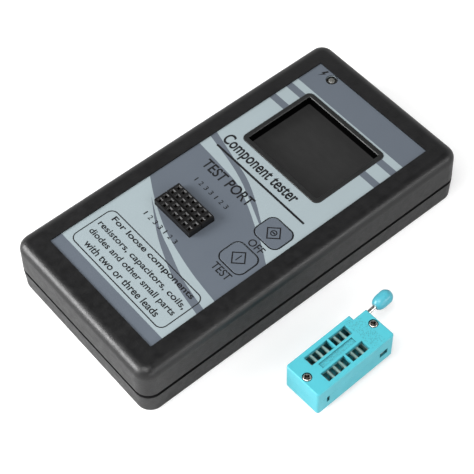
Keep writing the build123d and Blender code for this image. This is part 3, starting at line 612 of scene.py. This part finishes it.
UPPER_TOP = [(LEFT, 11.5), (-13.2, 8.3), (-4.1, 6.1), (5.0, 2.1), (13.3, -2.5)]
UPPER_BOTTOM = [(LEFT, 8.7), (-13.2, 6.3), (-4.1, 3.8), (5.0, 0.2), (13.3, -3.3)]
LOWER_TOP = [(-19.3, -22.6), (-6.8, -28.8), (2.7, -32.0), (14.0, -35.6), (RIGHT, -37.7)]
LOWER_BOTTOM = [(-6.8, -30.2), (2.7, -34.5), (14.0, -38.4), (RIGHT, -40.5)]
stripe_shapes = [
    [smooth_through(UPPER_TOP) + smooth_through(UPPER_BOTTOM)[::-1]],
    [smooth_through(LOWER_TOP) + smooth_through([LOWER_TOP[0], *LOWER_BOTTOM])[::-1][:-1]],
]
cut_openings(slab("label_stripes", stripe_shapes, ink_dark))


def lettering(name, rows):
    """Printed words as one thin mesh; each row is text, left, bottom, right, top and boldness."""
    bm = bmesh.new()
    for text, x0, y0, x1, y1, bold in rows:
        curve = bpy.data.curves.new("words", "FONT")
        curve.body = text
        curve.offset = bold
        curve.extrude = 0.5
        words = bpy.data.objects.new("words", curve)
        bpy.context.scene.collection.objects.link(words)
        bpy.context.view_layer.update()
        mesh = bpy.data.meshes.new_from_object(words.evaluated_get(bpy.context.evaluated_depsgraph_get()))
        xs = [v.co.x for v in mesh.vertices]
        ys = [v.co.y for v in mesh.vertices]
        wide = (x1 - x0) / (max(xs) - min(xs))
        tall = (y1 - y0) / (max(ys) - min(ys))
        bottom = LABEL_Z + LAYER
        for v in mesh.vertices:
            v.co = (
                (x0 + (v.co.x - min(xs)) * wide) * MM,
                (y0 + (v.co.y - min(ys)) * tall) * MM,
                bottom + (INK if v.co.z > 0 else 0.0),
            )
        bm.from_mesh(mesh)
        bpy.data.meshes.remove(mesh)
        bpy.data.objects.remove(words)
    bmesh.ops.remove_doubles(bm, verts=bm.verts, dist=1e-7)
    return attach(add_mesh(name, bm, ink_black), "housing")


lettering("label_title", [("Component tester", -22.7, 8.9, 13.5, 15.1, 0.02)])
slab("label_underline", [[rectangle(-22.1, 7.6, 22.2, 8.4)]], ink_black, layer=1)
lettering("label_legend", [("TEST PORT", -19.0, -1.7, 4.9, 2.4, 0.016)])

# Terminal numbers, one row above the test socket and one below it.
DIGITS = "1233123"
DIGIT_PITCH = 2.58
DIGIT_SHIFT = -0.3
DIGIT_ROWS = (-6.7, -28.2)
DIGIT_HALF_HEIGHT = 0.9
DIGIT_HALF_WIDTH = 0.6
ONE_HALF_WIDTH = 0.22
DIGIT_WEIGHT = 0.01
digits_middle = middle(*extent("header_front", "header_rear"))[0] + DIGIT_SHIFT
digit_rows = []
for row_y in DIGIT_ROWS:
    for column, digit in enumerate(DIGITS):
        x = digits_middle + (column - len(DIGITS) // 2) * DIGIT_PITCH
        half = ONE_HALF_WIDTH if digit == "1" else DIGIT_HALF_WIDTH
        digit_rows.append(
            (digit, x - half, row_y - DIGIT_HALF_HEIGHT, x + half, row_y + DIGIT_HALF_HEIGHT, DIGIT_WEIGHT)
        )
lettering("label_digits", digit_rows)
lettering(
    "label_key_words",
    [("OFF", 15.7, -11.0, 22.2, -8.1, 0.01), ("TEST", 15.0, -25.7, 22.9, -22.7, 0.01)],
)

# Round-cornered box with four lines of words.
BOX = (-23.8, -52.9, 23.8, -35.1)
BOX_LINE = 0.38
BOX_INSIDE = (BOX[0] + BOX_LINE, BOX[1] + BOX_LINE, BOX[2] - BOX_LINE, BOX[3] - BOX_LINE)
slab("label_box", [[rounded(*BOX, 2.7), rounded(*BOX_INSIDE, 2.35)]], ink_black, layer=1)
lettering(
    "label_box_words",
    [
        ("For loose components", -20.4, -39.2, 21.0, -36.3, 0.02),
        ("resistors, capacitors, coils,", -22.0, -43.6, 22.2, -40.6, 0.016),
        ("diodes and other small parts", -21.6, -47.6, 21.8, -44.6, 0.016),
        ("with two or three leads", -18.6, -51.3, 18.7, -48.6, 0.016),
    ],
)

# Charging mark and the dark ring round the light.
BOLT = [
    (-22.1, 58.9), (-23.3, 56.7), (-22.5, 56.9), (-23.2, 54.9), (-21.4, 57.4), (-22.2, 57.2), (-21.4, 58.7)
]
slab("label_bolt", [[BOLT]], ink_black, layer=1)
slab("label_led_ring", [[circle(*LED, LED_RING), circle(*LED, LED_OPENING)]], ink_black, layer=1)

# Marks on the keys.
DIAMOND = 3.3
DIAMOND_LINE = 0.46
RING_OUTSIDE = 1.2
RING_INSIDE = 0.82
CROSS_BAR = (0.7, 0.22)
UPRIGHT_BAR = (0.2, 1.35)
KEY_OUTLINE = 0.34
KEY_OUTLINE_CORNER = 2.95


def diamond(x, y, size):
    return [(x + size, y), (x, y + size), (x - size, y), (x, y - size)]


def key_print(key, body, ringed):
    """Diamond mark on a key pad, with an upright bar or a ringed cross bar, and the pad's outline."""
    x, y = middle(*extent(key, key))
    wide, tall = CROSS_BAR if ringed else UPRIGHT_BAR
    shapes = [[diamond(x, y, DIAMOND), diamond(x, y, DIAMOND - DIAMOND_LINE * 2**0.5)]]
    if ringed:
        shapes.append([circle(x, y, RING_OUTSIDE), circle(x, y, RING_INSIDE)])
    shapes.append([rectangle(x - wide, y - tall, x + wide, y + tall)])
    slab(key + "_mark", shapes, ink_black, body=body, base=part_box(key)[1].z)
    outside = rounded(*extent(key, key, KEY_GAP + KEY_OUTLINE), KEY_OUTLINE_CORNER)
    inside = rounded(*extent(key, key, KEY_GAP), KEY_CORNER)
    slab(key + "_outline", [[outside, inside]], ink_black, layer=1)


key_print("off_key", "off_button", ringed=True)
key_print("test_key", "test_button", ringed=False)


# ================================================================ studio

FLOOR_SIZE = 6.0
FLOOR_DROP = 0.05 * MM
FLOOR_GLOW = 0.64
bm = bmesh.new()
bmesh.ops.create_grid(bm, x_segments=2, y_segments=2, size=FLOOR_SIZE / 2)
floor_shader = Shader("studio_floor")
floor_colour = floor_shader.mix(
    floor_shader.patches(60 * MM, 2.0), (0.66, 0.66, 0.66, 1), (0.68, 0.68, 0.68, 1)
)
floor_shader.finish(floor_colour, 0.9, specular=0.1)
# Seen directly, the floor is a lit white sheet: it glows a little, so shadows on it stay faint.
seen_directly = floor_shader.node("ShaderNodeLightPath").outputs["Is Camera Ray"]
floor_shader.link(floor_colour, floor_shader.bsdf.inputs["Emission Color"])
glow = floor_shader.maths("MULTIPLY", seen_directly, FLOOR_GLOW)
floor_shader.link(glow, floor_shader.bsdf.inputs["Emission Strength"])
floor = add_mesh("studio_floor", bm, floor_shader.material)
floor.location.z = -FLOOR_DROP


def area_light(name, position, target, width, height, power):
    """Rectangular soft light, in metres and watts, turned towards its target."""
    data = bpy.data.lights.new(name, "AREA")
    data.shape = "RECTANGLE"
    data.size = width
    data.size_y = height
    data.energy = power
    light = bpy.data.objects.new(name, data)
    light.location = position
    light.rotation_euler = (Vector(target) - Vector(position)).to_track_quat("-Z", "Y").to_euler()
    bpy.context.scene.collection.objects.link(light)


def direction(azimuth, elevation, distance):
    """Point at a compass bearing round the object: 0 in front (-Y), 90 on the right (+X)."""
    a, e = radians(azimuth), radians(elevation)
    return (distance * sin(a) * cos(e), -distance * cos(a) * cos(e), distance * sin(e))


area_light("key_softbox", direction(-32, 24, 0.7), (0, 0, 0.01), 0.47, 0.28, 7.0)
area_light("top_fill", direction(25, 66, 1.0), (0, 0, 0), 0.6, 0.6, 6.6)
area_light("right_fill", direction(116, 28, 0.8), (0, 0.03, 0), 0.4, 0.26, 1.4)
area_light("right_low", direction(82, 13, 0.9), (0, 0.02, 0.01), 0.6, 0.2, 1.2)

world = bpy.data.worlds.new("studio")
world.use_nodes = True
tree = world.node_tree
background = tree.nodes["Background"]
geometry = tree.nodes.new("ShaderNodeTexCoord")
separate = tree.nodes.new("ShaderNodeSeparateXYZ")
ramp = tree.nodes.new("ShaderNodeMapRange")
tree.links.new(geometry.outputs["Generated"], separate.inputs[0])
tree.links.new(separate.outputs["Z"], ramp.inputs["Value"])
# White low down, fading to black between 30 and 53 degrees up, so that level faces stay dark.
for key, number in (("From Min", 0.5), ("From Max", 0.8), ("To Min", 0.78), ("To Max", 0.0)):
    ramp.inputs[key].default_value = number
tree.links.new(ramp.outputs["Result"], background.inputs["Strength"])
background.inputs["Color"].default_value = (1, 1, 1, 1)
bpy.context.scene.world = world

# Camera: looks down over the right front corner.
VIEW_AZIMUTH = 51.42
VIEW_ELEVATION = 54.33
VIEW_ROLL = -1.86
VIEW_DISTANCE = 0.4839
VIEW_ANGLE = 19.065
VIEW_TARGET = Vector((-0.00019, -0.00212, 0.0))
azimuth, elevation = radians(VIEW_AZIMUTH), radians(VIEW_ELEVATION)
forward = Vector((-sin(azimuth) * cos(elevation), cos(azimuth) * cos(elevation), -sin(elevation)))
level_right = Vector((cos(azimuth), sin(azimuth), 0))
level_up = level_right.cross(forward)
roll = radians(VIEW_ROLL)
right = level_right * cos(roll) + level_up * sin(roll)
up = level_up * cos(roll) - level_right * sin(roll)
camera_data = bpy.data.cameras.new("camera")
camera_data.angle = radians(VIEW_ANGLE)
camera_data.clip_start = 0.01
camera = bpy.data.objects.new("camera", camera_data)
camera.matrix_world = Matrix.Translation(VIEW_TARGET - forward * VIEW_DISTANCE) @ Matrix(
    (right, up, -forward)
).transposed().to_4x4()
bpy.context.scene.collection.objects.link(camera)
bpy.context.scene.camera = camera
bpy.context.scene.view_settings.view_transform = "Standard"
